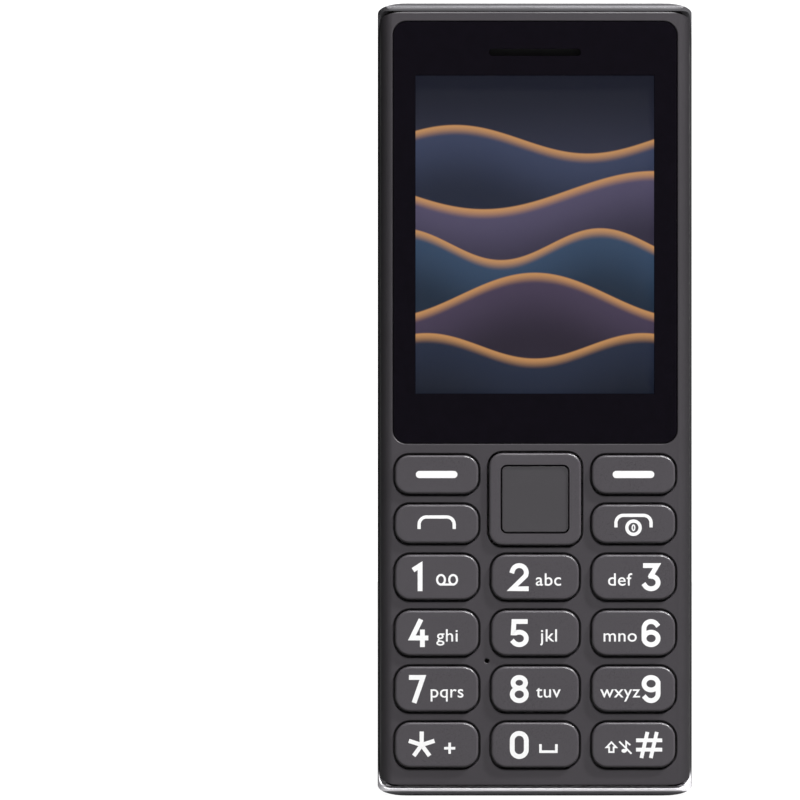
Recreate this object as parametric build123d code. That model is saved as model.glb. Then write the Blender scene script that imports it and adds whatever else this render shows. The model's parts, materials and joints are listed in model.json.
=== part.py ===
from build123d import *
import os

os.makedirs("parts", exist_ok=True)

# A keypad phone, in millimetres. It stands on its bottom end: x runs to the right as seen
# from the front, y runs from the screen to the back, and z runs up from the standing end.

# Keypad, as its holes in the front cover
middle_key_width = 14.06
column_land = 1.4
number_key_height = 7.5
row_land = 1.1
call_key_height = 6.5
call_land = 1.2
soft_land = 1.08
number_key_corner = 2.7
call_key_corner = 2.55
nav_hole_size = 14.75
nav_hole_corner = 2.4
keypad_bottom_margin = 4.13

# Keys
key_gap = 0.3
key_proud = 0.5
key_edge_round = 0.35
key_lip_width = 0.5
key_lip_depth = 0.4
key_lip_gap = 0.1

# Navigation key: a ring that rocks on a pad, with a lower square key in its middle
nav_center_size = 10.2
nav_center_corner = 0.8
nav_center_gap = 0.2
nav_center_drop = 0.2
nav_edge_round = 0.35
nav_tab_length = 5.0
nav_tab_depth = 0.4
nav_tilt_room = 0.5
nav_ridge_width = 1.2
nav_ridge_gap = 0.05
nav_pad_width = 1.3
nav_pad_depth = 0.3
nav_pad_room = 0.35

# Display window and the screen's active area
window_corner = 2.1
window_depth = 0.9
window_sink = 0.05
window_edge_chamfer = 0.12
window_fit = 0.1
window_land = 1.53
window_top_margin = 1.53
tape_depth = 0.15
tape_inset = 0.2
active_width = 36.72
active_height = 48.96
active_side_margin = 3.47
active_top_margin = 8.26
active_bottom_margin = 7.66
mask_margin = 0.3
ledge_margin = 1.0
ledge_depth = 0.65

# Screen module
lcd_depth = 2.2
lcd_side_margin = 3.0
lcd_top_margin = 2.3
lcd_gap = 0.45
lcd_corner = 0.6
panel_depth = 1.2
panel_side_margin = 2.1
panel_top_margin = 1.5
panel_bottom_margin = 5.5
panel_fit = 0.1
ribbon_width = 12.0
ribbon_depth = 0.12
ribbon_reach = 0.8
ribbon_gap = 0.2
ribbon_bend = 0.3
ribbon_tail = 0.6
screen_socket_width = 13.0
screen_socket_length = 3.4
screen_socket_height = 1.0

# Body: margins, rims, seam and curved edges
side_margin = 2.37
bottom_rim = 1.5
top_rim = 1.22
seam_gap = 0.12
seam_step = 0.3
side_wall = 1.0
back_wall = 1.0
front_curve_width = 1.85
front_curve_depth = 2.2
cover_edge_height = 0.35
corner_width = 4.6
corner_height = 1.6
cover_corner_width = 4.3
cover_corner_height = 1.5
cover_end_round = 0.25
rim_drop = 0.3
rim_round = 1.0
rim_bevel = 0.45
back_end_round = 1.6
back_curve_depth = 5.6
back_curve_inboard = 3.5
ramp_length = 7.0
inner_corner = 1.5
inner_end_round = 0.8

# Front cover
key_plate_depth = 1.4
cover_wall = 0.8
pocket_gap = 0.25
hole_chamfer = 0.1
boss_radius = 1.35
pilot_radius = 0.72
microphone_hole_radius = 0.35

# Middle frame
frame_gap = 0.15
frame_lid_gap = 0.3
frame_wall = 0.9
floor_depth = 0.7
skin_depth = 1.2
bay_gap = 0.15
post_radius = 2.3
well_radius = 1.6
rest_post_radius = 1.2
rest_post_inset = 2.2
rest_post_share = 0.08
bridge_length = 1.3
zone_wall = 1.0
chamber_inset = 4.95

# Case screws
screw_radius = 0.7
screw_head_radius = 1.45
screw_head_depth = 0.8
screw_seat_depth = 0.9
screw_tip_gap = 0.3
screw_socket_radius = 0.55
screw_socket_depth = 0.4
screw_hole_gap = 0.2
upper_screw_inset = 4.4
upper_screw_drop = 4.6

# Locating ribs of the rear cover and their channels
rib_length = 4.0
rib_width = 0.4
rib_drop = 0.8
rib_height = 2.0
rib_fit = 0.15
rib_shares = [0.2, 0.5, 0.8]

# Circuit board
board_depth = 0.8
board_side_gap = 0.25
board_end_gap = 0.4
board_corner = 1.0
parts_room = 1.5

# Switch domes, their carrier sheet and the silicone mat
dome_radius = 2.0
nav_dome_radius = 1.5
dome_height = 0.25
dome_top_share = 0.45
carrier_depth = 0.08
carrier_gap = 0.1
mat_depth = 0.4
mat_side_gap = 0.25
mat_rim_width = 0.7
plunger_radius = 1.0
plunger_gap = 0.05
mat_hole_gap = 0.3
nav_mat_depth = 0.3
nav_mat_wall = 0.6
nav_mat_gap = 0.3

# Small lamps that light the keys
lamp_width = 1.6
lamp_height = 0.8
lamp_depth = 0.5

# Parts behind the window and in the keypad
earpiece_slot_width = 14.1
earpiece_slot_height = 1.1
earpiece_slot_drop = 4.73
earpiece_cloth_margin = 0.5
earpiece_cloth_depth = 0.12
receiver_width = 12.0
receiver_height = 4.8
receiver_depth = 2.0
receiver_gap = 0.3
receiver_corner = 1.2
microphone_width = 2.75
microphone_height = 1.85
microphone_depth = 0.9
boot_radius = 1.3

# Shielded chips on the back of the board
can_height = 1.35
can_wall = 0.2
can_corner = 0.5
radio_can_width = 20.0
radio_can_length = 14.0
main_can_width = 30.0
main_can_length = 22.0
can_space = 3.0
chip_height = 0.9
main_chip_size = 10.0
radio_chip_size = 6.0

# Battery and its connector
battery_width = 34.4
battery_length = 53.4
battery_depth = 4.3
battery_gap = 0.05
battery_end_gap = 0.2
battery_edge_round = 0.8
battery_bottom_z = 16.3
lid_gap = 0.4
contact_width = 2.0
contact_height = 1.6
contact_depth = 0.1
contact_pitch = 2.9
connector_width = 9.6
connector_length = 3.2
connector_height = 4.2
connector_gap = 0.35
connector_finger_gap = 0.05
connector_finger_width = 1.0
connector_finger_height = 0.8

# Card sockets
card_gap = 0.4
sim_width = 13.2
sim_length = 16.6
memory_width = 12.0
memory_length = 14.8
card_socket_height = 1.4
card_wall = 0.25
card_space = 1.4
card_side_wall = 0.6

# Audio socket, torch and loudspeaker at the top end
jack_width = 6.3
jack_height = 5.0
jack_length = 13.8
jack_bore_radius = 1.8
jack_bore_length = 12.4
jack_mouth_radius = 3.0
jack_inset = 10.2
jack_end_gap = 0.03
cavity_gap = 0.2
torch_x = -2.0
lamp_body_width = 3.2
lamp_body_length = 1.4
torch_lens_radius = 2.0
torch_lens_fit = 0.03
torch_hole_gap = 0.2
torch_lens_gap = 0.15
speaker_width = 15.0
speaker_length = 11.0
speaker_depth = 3.4
speaker_corner = 2.0
speaker_side_gap = 0.5
speaker_end_gap = 4.0
sound_hole_radius = 0.6
sound_hole_pitch = 2.2
sound_hole_count = 5

# Vibration motor
motor_radius = 4.0
motor_depth = 2.7
motor_gap = 1.0

# USB-C socket at the bottom end
usb_width = 8.94
usb_height = 3.2
usb_length = 7.3
usb_wall = 0.3
usb_depth = 6.4
usb_tongue_width = 6.7
usb_tongue_height = 0.7
usb_mouth_gap = 0.25
usb_end_gap = 0.05

# Aerial film on the frame's lower back
aerial_width = 26.0
aerial_length = 7.0
aerial_depth = 0.12
aerial_bottom_gap = 1.2
aerial_slot_width = 1.2
aerial_slot_shares = [0.25, 0.6]

overrun = 1.0

# Places worked out from the sizes: the window and keypad are as wide as each other
window_width = active_width + 2 * active_side_margin
window_height = active_top_margin + active_height + active_bottom_margin
side_key_width = (window_width - middle_key_width) / 2 - column_land
column_pitch = (side_key_width + middle_key_width) / 2 + column_land
row_pitch = number_key_height + row_land
number_row_count = 4
bottom_row_z = keypad_bottom_margin + number_key_height / 2
top_row_z = bottom_row_z + (number_row_count - 1) * row_pitch
call_z = top_row_z + number_key_height / 2 + call_land + call_key_height / 2
soft_z = call_z + call_key_height + soft_land
nav_z = (call_z + soft_z) / 2
keypad_top_z = soft_z + call_key_height / 2
window_bottom_z = keypad_top_z + window_land
window_top_z = window_bottom_z + window_height
window_z = (window_bottom_z + window_top_z) / 2
active_top_z = window_top_z - active_top_margin
active_z = active_top_z - active_height / 2
earpiece_z = window_top_z - earpiece_slot_drop
cover_bottom_z = bottom_rim + seam_gap
cover_top_z = window_top_z + window_top_margin
body_length = cover_top_z + seam_gap + top_rim
body_width = window_width + 2 * side_margin
half_width = body_width / 2
aerial_bottom_z = bottom_rim + frame_gap + aerial_bottom_gap

# Levels worked out from the sizes, from the face to the back
body_depth = (window_sink + window_depth + tape_depth + ledge_depth + lcd_depth + board_depth + parts_room
              + floor_depth + battery_gap + battery_depth + lid_gap + back_wall)
key_top_y = -(key_proud + body_depth) / 2
face_y = key_top_y + key_proud
window_front_y = face_y + window_sink
window_back_y = window_front_y + window_depth
ledge_y = window_back_y + tape_depth
lcd_front_y = ledge_y + ledge_depth
board_front_y = lcd_front_y + lcd_depth
board_back_y = board_front_y + board_depth
floor_front_y = board_back_y + parts_room
floor_back_y = floor_front_y + floor_depth
battery_front_y = floor_back_y + battery_gap
battery_back_y = battery_front_y + battery_depth
back_inner_y = battery_back_y + lid_gap
back_y = back_inner_y + back_wall
frame_back_y = back_inner_y - frame_lid_gap
skin_y = frame_back_y - skin_depth
key_plate_y = face_y + key_plate_depth
seam_y = face_y + front_curve_depth
rim_front_y = face_y + rim_drop
lip_front_y = key_plate_y + key_lip_gap
lip_back_y = lip_front_y + key_lip_depth
mat_back_y = lip_back_y + mat_depth
dome_top_y = board_front_y - dome_height
plunger_y = dome_top_y - plunger_gap
nav_mat_y = plunger_y - nav_mat_depth
nav_tab_front_y = key_plate_y + nav_tilt_room
nav_ring_back_y = nav_tab_front_y + nav_tab_depth

# Places that several pieces share
core_half = half_width - side_wall - frame_gap
cover_inner_half = core_half - cover_wall
nav_ring_size = nav_hole_size - 2 * key_gap
nav_inner_size = nav_center_size + 2 * nav_center_gap
nav_tab_reach = nav_ring_size + 2 * key_lip_width
soft_lip_top_z = keypad_top_z - key_gap + key_lip_width
nav_tab_top_z = nav_z + nav_tab_reach / 2
key_pocket_top_z = max(soft_lip_top_z, nav_tab_top_z) + pocket_gap
lcd_bottom_z = key_pocket_top_z + lcd_gap
lcd_top_z = active_top_z + lcd_top_margin
lcd_width = active_width + 2 * lcd_side_margin
land_x = (side_key_width - middle_key_width) / 4 + column_pitch / 2
screw_land_z = bottom_row_z + row_pitch / 2
microphone_z = bottom_row_z + row_pitch * 3 / 2
frame_bottom_z = bottom_rim + frame_gap
frame_top_z = body_length - top_rim - frame_gap
upper_screw_x = half_width - upper_screw_inset
upper_screw_z = frame_top_z - upper_screw_drop
screw_places = [(-land_x, screw_land_z), (land_x, screw_land_z),
                (-upper_screw_x, upper_screw_z), (upper_screw_x, upper_screw_z)]
pocket_half = core_half - frame_wall
pocket_bottom_z = frame_bottom_z + frame_wall
pocket_top_z = frame_top_z - frame_wall
board_half = pocket_half - board_side_gap
board_bottom_z = pocket_bottom_z + board_end_gap
board_top_z = pocket_top_z - board_end_gap
battery_top_z = battery_bottom_z + battery_length
connector_bottom_z = battery_top_z + connector_gap
connector_top_z = connector_bottom_z + connector_length
cards_bottom_z = connector_top_z + bridge_length
cards_top_z = cards_bottom_z + sim_length + 2 * card_gap
top_zone_z = cards_top_z + zone_wall
jack_x = -(half_width - jack_inset)
jack_y = board_back_y + jack_height / 2
jack_top_z = frame_top_z - jack_end_gap
torch_y = board_back_y + lamp_body_width / 2
torch_lens_bottom_z = pocket_top_z - torch_lens_gap
usb_y = board_back_y + usb_height / 2
usb_bottom_z = frame_bottom_z + usb_end_gap
chamber_half = pocket_half - chamber_inset
speaker_x = chamber_half - speaker_side_gap - speaker_width / 2
speaker_z = pocket_top_z - speaker_end_gap - speaker_length / 2
sound_y = board_back_y + lamp_body_width / 2
back_curve_width = half_width - battery_width / 2 + back_curve_inboard
radio_can_low = battery_bottom_z + can_space
radio_can_high = radio_can_low + radio_can_length
main_can_low = radio_can_high + can_space
main_can_high = main_can_low + main_can_length
card_x = (memory_width + sim_width) / 2 + card_space
rest_post_x = board_half - rest_post_inset
rest_post_z = [battery_bottom_z + battery_length * rest_post_share,
               battery_top_z - battery_length * rest_post_share]

# Keys: name, then centre x, centre z, hole width, hole height and hole corner
number_names = [["key_1", "key_2", "key_3"], ["key_4", "key_5", "key_6"],
                ["key_7", "key_8", "key_9"], ["key_star", "key_0", "key_hash"]]
column_widths = [side_key_width, middle_key_width, side_key_width]
key_places = {
    "soft_key_left": (-column_pitch, soft_z, side_key_width, call_key_height, call_key_corner),
    "soft_key_right": (column_pitch, soft_z, side_key_width, call_key_height, call_key_corner),
    "call_key": (-column_pitch, call_z, side_key_width, call_key_height, call_key_corner),
    "end_key": (column_pitch, call_z, side_key_width, call_key_height, call_key_corner),
}
for row, names in enumerate(number_names):
    for column, name in enumerate(names):
        key_x = (column - 1) * column_pitch
        key_z = top_row_z - row * row_pitch
        key_places[name] = (key_x, key_z, column_widths[column], number_key_height, number_key_corner)

# Domes under the navigation key lie midway between the ring's outer and inner edges
nav_dome_reach = (nav_ring_size + nav_inner_size) / 4
nav_dome_places = [(nav_dome_reach, nav_z), (-nav_dome_reach, nav_z),
                   (0, nav_z + nav_dome_reach), (0, nav_z - nav_dome_reach)]
dome_places = [(place[0], place[1]) for place in key_places.values()] + [(0, nav_z)]
lamp_places = [(side * land_x, z) for side in (-1, 1) for z in (bottom_row_z + row_pitch, top_row_z)]


def slab(outline, front, back, x=0, z=0):
    """A flat outline, drawn in x and z, made a solid between two levels of y."""
    return extrude(Plane.XZ.offset(-back) * Pos(x, z) * outline, amount=back - front)


def rod(radius, front, back, x, z):
    """A round bar along y."""
    return slab(Circle(radius), front, back, x, z)


def post(radius, low, high, x, y):
    """A round bar along z."""
    return Pos(x, y, low) * extrude(Circle(radius), amount=high - low)


def block(width, front, back, low, high, x=0):
    """A square-edged block, centred on x, between two levels of y and two of z."""
    depth = back - front
    height = high - low
    return Pos(x, front, low) * Box(width, depth, height, align=(Align.CENTER, Align.MIN, Align.MIN))


def outline(half, low, high, low_curve=None, high_curve=None):
    """A closed outline, alike on both sides. Corners are square, or a quarter ellipse (width, height)."""
    low_width, low_height = low_curve or (0, 0)
    high_width, high_height = high_curve or (0, 0)
    straights = [((0, low), (half - low_width, low)),
                 ((half, low + low_height), (half, high - high_height)),
                 ((half - high_width, high), (0, high))]
    right = [Line(start, end) for start, end in straights if start != end]
    if low_curve:
        center = (half - low_width, low + low_height)
        right.append(EllipticalCenterArc(center, low_width, low_height, start_angle=270, arc_size=90))
    if high_curve:
        center = (half - high_width, high - high_height)
        right.append(EllipticalCenterArc(center, high_width, high_height, start_angle=0, arc_size=90))
    left = [mirror(edge, Plane.YZ) for edge in right]
    return make_face(right + left)


def from_side(shape, middle_z, reach=body_width):
    """An outline drawn in z and y, made a solid across the phone, as far to each side as the reach."""
    across = Plane(origin=(0, 0, middle_z), x_dir=(0, 0, 1), z_dir=(-1, 0, 0))
    return extrude(across * shape, amount=reach, both=True)


def body_form(side, bottom, top, front, back, corner, front_round, back_round, front_curve=None):
    """The body drawn in at its sides and ends: its outlines from above, front and side, made one."""
    half = half_width - side
    low = bottom
    high = body_length - top
    back_curve = (back_curve_width - side, back_curve_depth - (back_y - back))
    end_outline = outline(half, front, back, front_curve, back_curve)
    length_form = Pos(0, 0, low) * extrude(end_outline, amount=high - low)
    front_form = slab(outline(half, low, high, corner, corner), front, back)
    side_form = from_side(outline((high - low) / 2, front, back, front_round, back_round), (low + high) / 2)
    return length_form & front_form & side_form


def front_cover():
    """The face: a tray with curved long edges, the window's recess, the key holes and four screw bosses."""
    edge_y = seam_y - seam_gap
    cover_half = half_width - seam_step
    low = cover_bottom_z
    high = cover_top_z
    corner = (cover_corner_width, cover_corner_height)
    edge_curve = (front_curve_width, front_curve_depth - cover_edge_height)
    ramp = (ramp_length, edge_y - rim_front_y)
    end_round = (cover_end_round, cover_end_round)
    above = Pos(0, 0, low) * extrude(outline(cover_half, face_y, edge_y, edge_curve), amount=high - low)
    front = slab(outline(cover_half, low, high, corner, corner), face_y, edge_y)
    side = from_side(outline((high - low) / 2, face_y, edge_y, end_round, ramp), (low + high) / 2)
    core_corner = (inner_corner, inner_corner)
    core = slab(outline(core_half, low, high, core_corner, core_corner), key_plate_y, seam_y)
    cover = (above & front & side) + core

    inner_low = low + cover_wall
    inner_high = high - cover_wall
    cover -= block(2 * cover_inner_half, key_plate_y, seam_y + overrun, inner_low, key_pocket_top_z)
    cover -= block(2 * cover_inner_half, lcd_front_y, seam_y + overrun, inner_low, inner_high)
    recess = RectangleRounded(window_width + 2 * window_fit, window_height + 2 * window_fit,
                              window_corner + window_fit)
    cover -= slab(recess, face_y - overrun, ledge_y, 0, window_z)
    view = Rectangle(active_width + 2 * ledge_margin, active_height + 2 * ledge_margin)
    cover -= slab(view, ledge_y - overrun, lcd_front_y + overrun, 0, active_z)
    sound_slot = SlotOverall(earpiece_slot_width, earpiece_slot_height)
    cover -= slab(sound_slot, ledge_y - overrun, lcd_front_y + overrun, 0, earpiece_z)
    for x, z, width, height, hole_corner in key_places.values():
        cover -= slab(RectangleRounded(width, height, hole_corner), face_y - overrun, seam_y, x, z)
    nav_hole = RectangleRounded(nav_hole_size, nav_hole_size, nav_hole_corner)
    cover -= slab(nav_hole, face_y - overrun, seam_y, 0, nav_z)
    cover -= rod(microphone_hole_radius, face_y - overrun, seam_y, -land_x, microphone_z)
    face = cover.faces().filter_by(Axis.Y).sort_by(Axis.Y)[0]
    cover = chamfer([edge for wire in face.inner_wires() for edge in wire.edges()], hole_chamfer)

    for x, z in screw_places:
        root_y = key_plate_y if z < key_pocket_top_z else lcd_front_y
        cover += rod(boss_radius, root_y - hole_chamfer, board_front_y, x, z)
        cover -= rod(pilot_radius, root_y, board_front_y + overrun, x, z)
    return cover


def display_window():
    """The clear window over the screen, with the earpiece's slot through it."""
    pane = slab(RectangleRounded(window_width, window_height, window_corner), window_front_y, window_back_y,
                0, window_z)
    pane = chamfer(pane.faces().sort_by(Axis.Y)[0].edges(), window_edge_chamfer)
    slot = SlotOverall(earpiece_slot_width, earpiece_slot_height)
    return pane - slab(slot, window_front_y - overrun, window_back_y + overrun, 0, earpiece_z)


def window_tape():
    """The black tape frame that holds the window to its ledge and hides the screen's edges."""
    frame = RectangleRounded(window_width - 2 * tape_inset, window_height - 2 * tape_inset,
                             window_corner - tape_inset)
    tape = slab(frame, window_back_y, ledge_y, 0, window_z)
    view = Rectangle(active_width + 2 * mask_margin, active_height + 2 * mask_margin)
    tape -= slab(view, window_back_y - overrun, ledge_y + overrun, 0, active_z)
    return tape - slab(earpiece_cloth_outline(window_fit), window_back_y - overrun, ledge_y + overrun,
                       0, earpiece_z)


def earpiece_cloth_outline(room):
    """The outline of the cloth behind the earpiece's slot, with room round it."""
    margin = 2 * (earpiece_cloth_margin + room)
    return SlotOverall(earpiece_slot_width + margin, earpiece_slot_height + margin)


def earpiece_cloth():
    """The fine cloth that keeps dust out of the earpiece."""
    back = window_back_y + earpiece_cloth_depth
    return slab(earpiece_cloth_outline(0), window_back_y, back, 0, earpiece_z)


def earpiece_receiver():
    """The small speaker that is held to the ear, behind the slot and above the screen."""
    body = RectangleRounded(receiver_width, receiver_height, receiver_corner)
    middle_z = lcd_top_z + receiver_gap + receiver_height / 2
    return slab(body, lcd_front_y, lcd_front_y + receiver_depth, 0, middle_z)


def lcd_backlight():
    """The white tray that lights the screen and holds its glass, with a notch for the ribbon."""
    height = lcd_top_z - lcd_bottom_z
    middle_z = (lcd_top_z + lcd_bottom_z) / 2
    tray = slab(RectangleRounded(lcd_width, height, lcd_corner), lcd_front_y, board_front_y, 0, middle_z)
    seat_y = lcd_front_y + panel_depth
    panel_bottom = active_top_z - active_height - panel_bottom_margin
    panel_top = active_top_z + panel_top_margin
    seat_width = active_width + 2 * (panel_side_margin + panel_fit)
    tray -= block(seat_width, lcd_front_y - overrun, seat_y, panel_bottom - panel_fit, panel_top + panel_fit)
    notch_top = lcd_bottom_z + ribbon_reach + ribbon_gap
    notch_width = ribbon_width + 2 * ribbon_gap
    notch_front = ribbon_y() - ribbon_gap
    notch_back = ribbon_y() + ribbon_depth + ribbon_gap
    return tray - block(notch_width, notch_front, notch_back, lcd_bottom_z - overrun, notch_top)


def lcd_panel():
    """The screen's glass, which carries the picture."""
    bottom = active_top_z - active_height - panel_bottom_margin
    top = active_top_z + panel_top_margin
    width = active_width + 2 * panel_side_margin
    return block(width, lcd_front_y, lcd_front_y + panel_depth, bottom, top)


def ribbon_y():
    """The level at which the ribbon leaves the screen's tray."""
    return lcd_front_y + panel_depth + ribbon_gap


def ribbon_z():
    """The height at which the ribbon passes through the board."""
    return lcd_bottom_z - ribbon_bend


def lcd_ribbon():
    """The flat ribbon from the screen, bent back through the board to its socket."""
    reach = block(ribbon_width, ribbon_y(), ribbon_y() + ribbon_depth,
                  ribbon_z(), lcd_bottom_z + ribbon_reach)
    back = board_back_y + screen_socket_height / 2
    drop = block(ribbon_width, ribbon_y(), back, ribbon_z(), ribbon_z() + ribbon_depth)
    tail_front = back - ribbon_depth
    tail = block(ribbon_width, tail_front, back, ribbon_z(), ribbon_z() + ribbon_tail)
    return reach + drop + tail


def screen_socket():
    """The socket on the back of the board that the ribbon plugs into."""
    low = ribbon_z() + ribbon_tail
    back = board_back_y + screen_socket_height
    return block(screen_socket_width, board_back_y, back, low, low + screen_socket_length)


def main_board():
    """The circuit board, with the ribbon's slot and the screws' holes."""
    middle_z = (board_bottom_z + board_top_z) / 2
    length = board_top_z - board_bottom_z
    board = slab(RectangleRounded(2 * board_half, length, board_corner), board_front_y, board_back_y,
                 0, middle_z)
    slot_low = ribbon_z() - ribbon_gap
    slot_high = ribbon_z() + ribbon_depth + ribbon_gap
    board -= block(ribbon_width + 2 * ribbon_gap, board_front_y - overrun, board_back_y + overrun,
                   slot_low, slot_high)
    for x, z in screw_places:
        board -= rod(screw_radius + screw_hole_gap, board_front_y - overrun, board_back_y + overrun, x, z)
    return board


def key_domes():
    """The metal switch domes under the keys: a low disc with sloping sides each."""
    middle_y = board_front_y - dome_height / 2
    domes = []
    for radius, places in ((dome_radius, dome_places), (nav_dome_radius, nav_dome_places)):
        dome = Cone(radius, radius * dome_top_share, dome_height)
        for x, z in places:
            domes.append(Pos(x, middle_y, z) * Rot(90, 0, 0) * dome)
    return Compound(children=domes)


def dome_carrier():
    """The thin sheet that holds the domes in their places on the board."""
    low = board_bottom_z
    high = key_pocket_top_z
    sheet = block(2 * board_half, board_front_y - carrier_depth, board_front_y, low, high)
    for radius, places in ((dome_radius, dome_places), (nav_dome_radius, nav_dome_places)):
        for x, z in places:
            sheet -= rod(radius + carrier_gap, board_front_y - overrun, board_front_y + overrun, x, z)
    for x, z in screw_places[:2]:
        sheet -= rod(boss_radius + carrier_gap, board_front_y - overrun, board_front_y + overrun, x, z)
    microphone_room = Rectangle(microphone_width + 2 * carrier_gap, microphone_height + 2 * carrier_gap)
    sheet -= slab(microphone_room, board_front_y - overrun, board_front_y + overrun, -land_x, microphone_z)
    lamp_room = Rectangle(lamp_width + 2 * carrier_gap, lamp_height + 2 * carrier_gap)
    for x, z in lamp_places:
        sheet -= slab(lamp_room, board_front_y - overrun, board_front_y + overrun, x, z)
    return sheet


def keymat():
    """The silicone mat: a web with a plunger under each key, and a rim that stands on the board."""
    low = pocket_bottom_z + mat_side_gap
    high = key_pocket_top_z - mat_side_gap
    width = 2 * (pocket_half - mat_side_gap)
    foot_y = board_front_y - carrier_depth
    mat = block(width, lip_back_y, foot_y, low, high)
    inner_width = width - 2 * mat_rim_width
    mat -= block(inner_width, mat_back_y, foot_y + overrun, low + mat_rim_width, high - mat_rim_width)
    nav_room = nav_hole_size + 2 * nav_mat_gap
    well = Rectangle(nav_room + 2 * nav_mat_wall, nav_room + 2 * nav_mat_wall)
    mat += slab(well, mat_back_y, plunger_y, 0, nav_z) & block(width, lip_back_y, foot_y, low, high)
    mat -= slab(Rectangle(nav_room, nav_room), lip_back_y - overrun, nav_mat_y, 0, nav_z)
    for x, z, *_ in key_places.values():
        mat += rod(plunger_radius, mat_back_y, plunger_y, x, z)
    openings = [(boss_radius, x, z) for x, z in screw_places[:2]] + [(boot_radius, -land_x, microphone_z)]
    for radius, x, z in openings:
        mat -= rod(radius + mat_hole_gap, lip_back_y - overrun, mat_back_y + overrun, x, z)
    for x, z in nav_dome_places:
        mat -= rod(nav_dome_radius + carrier_gap, plunger_y, foot_y + overrun, x, z)
    return mat


def key_cap(x, z, width, height, corner):
    """A key: a raised cap with a rounded top edge, and a lip behind the cover that keeps it in."""
    cap_width = width - 2 * key_gap
    cap_height = height - 2 * key_gap
    cap_corner = corner - key_gap
    cap = slab(RectangleRounded(cap_width, cap_height, cap_corner), key_top_y, lip_back_y, x, z)
    cap = fillet(cap.faces().sort_by(Axis.Y)[0].edges(), key_edge_round)
    lip = RectangleRounded(cap_width + 2 * key_lip_width, cap_height + 2 * key_lip_width,
                           cap_corner + key_lip_width)
    return cap + slab(lip, lip_front_y, lip_back_y, x, z)


def nav_ring():
    """The navigation ring, with four tabs behind the cover at the middle of its sides."""
    ring = slab(RectangleRounded(nav_ring_size, nav_ring_size, nav_hole_corner - key_gap),
                key_top_y, nav_ring_back_y, 0, nav_z)
    ring = fillet(ring.faces().sort_by(Axis.Y)[0].edges(), nav_edge_round)
    middle = RectangleRounded(nav_inner_size, nav_inner_size, nav_center_corner + nav_center_gap)
    tabs = Rectangle(nav_tab_reach, nav_tab_length) + Rectangle(nav_tab_length, nav_tab_reach)
    ring += slab(tabs, nav_tab_front_y, nav_ring_back_y, 0, nav_z)
    return ring - slab(middle, key_top_y - overrun, nav_ring_back_y + overrun, 0, nav_z)


def nav_pad():
    """The frame that the ring rocks on: a thin square with a ridge above and one below the middle."""
    front = nav_ring_back_y + nav_ridge_gap
    plate_front = front + nav_pad_room
    plate_back = plate_front + nav_pad_depth
    outer = nav_inner_size + 2 * nav_pad_width
    pad = slab(Rectangle(outer, outer), plate_front, plate_back, 0, nav_z)
    pad += slab(Rectangle(nav_ridge_width, outer), front, plate_front, 0, nav_z)
    middle = Rectangle(nav_inner_size, nav_inner_size)
    return pad - slab(middle, front - overrun, plate_back + overrun, 0, nav_z)


def nav_center():
    """The square key in the middle of the ring, a little lower than it."""
    key = slab(RectangleRounded(nav_center_size, nav_center_size, nav_center_corner),
               key_top_y + nav_center_drop, nav_mat_y, 0, nav_z)
    return fillet(key.faces().sort_by(Axis.Y)[0].edges(), nav_edge_round / 2)


def key_lamps():
    """The small lamps on the board that light the keys from below."""
    body = Rectangle(lamp_width, lamp_height)
    return Compound(children=[slab(body, board_front_y - lamp_depth, board_front_y, x, z)
                              for x, z in lamp_places])


def microphone():
    """The microphone, on the board behind its hole."""
    body = Rectangle(microphone_width, microphone_height)
    return slab(body, board_front_y - microphone_depth, board_front_y, -land_x, microphone_z)


def microphone_boot():
    """The rubber tube that seals the microphone to its hole."""
    back = board_front_y - microphone_depth
    boot = rod(boot_radius, key_plate_y, back, -land_x, microphone_z)
    return boot - rod(microphone_hole_radius, key_plate_y - overrun, back + overrun, -land_x, microphone_z)


def shield_can(width, low, high):
    """A thin metal lid over the chips on the back of the board."""
    middle_z = (low + high) / 2
    back = board_back_y + can_height
    can = slab(RectangleRounded(width, high - low, can_corner), board_back_y, back, 0, middle_z)
    return can - block(width - 2 * can_wall, board_back_y - overrun, back - can_wall,
                       low + can_wall, high - can_wall)


def chip(size, middle_z):
    """A chip soldered to the back of the board."""
    return slab(Rectangle(size, size), board_back_y, board_back_y + chip_height, 0, middle_z)


def battery():
    """The battery: a flat pack with round long edges and three sunk contacts at its top end."""
    pack = block(battery_width, battery_front_y, battery_back_y, battery_bottom_z, battery_top_z)
    pack = fillet(pack.edges().filter_by(Axis.Z), battery_edge_round)
    for place in contact_places():
        pack -= contact(place, overrun)
    return pack


def contact_places():
    """Where the three battery contacts lie, from side to side."""
    return [-contact_pitch, 0, contact_pitch]


def contact(x, room):
    """One battery contact, level with the top end, or the cut that it sits in."""
    middle_y = (battery_front_y + battery_back_y) / 2
    front = middle_y - contact_height / 2
    back = middle_y + contact_height / 2
    return block(contact_width, front, back, battery_top_z - contact_depth, battery_top_z + room, x)


def battery_contacts():
    """The three plated contacts of the battery."""
    return Compound(children=[contact(place, 0) for place in contact_places()])


def battery_connector():
    """The connector on the board, whose three fingers meet the battery's contacts."""
    back = board_back_y + connector_height
    body = block(connector_width, board_back_y, back, connector_bottom_z, connector_top_z)
    middle_y = (battery_front_y + battery_back_y) / 2
    finger_front = middle_y - connector_finger_height / 2
    for place in contact_places():
        body += block(connector_finger_width, finger_front, finger_front + connector_finger_height,
                      battery_top_z + connector_finger_gap, connector_bottom_z + overrun, place)
    return body


def card_socket(width, length, x):
    """A metal card socket on the back of the board, open at its lower end."""
    low = cards_bottom_z + card_gap
    back = board_back_y + card_socket_height
    socket = block(width, board_back_y, back, low, low + length, x)
    slot_front = board_back_y + card_wall
    slot_width = width - 2 * card_side_wall
    return socket - block(slot_width, slot_front, back - card_wall,
                          low - overrun, low + length - card_wall, x)


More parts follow.
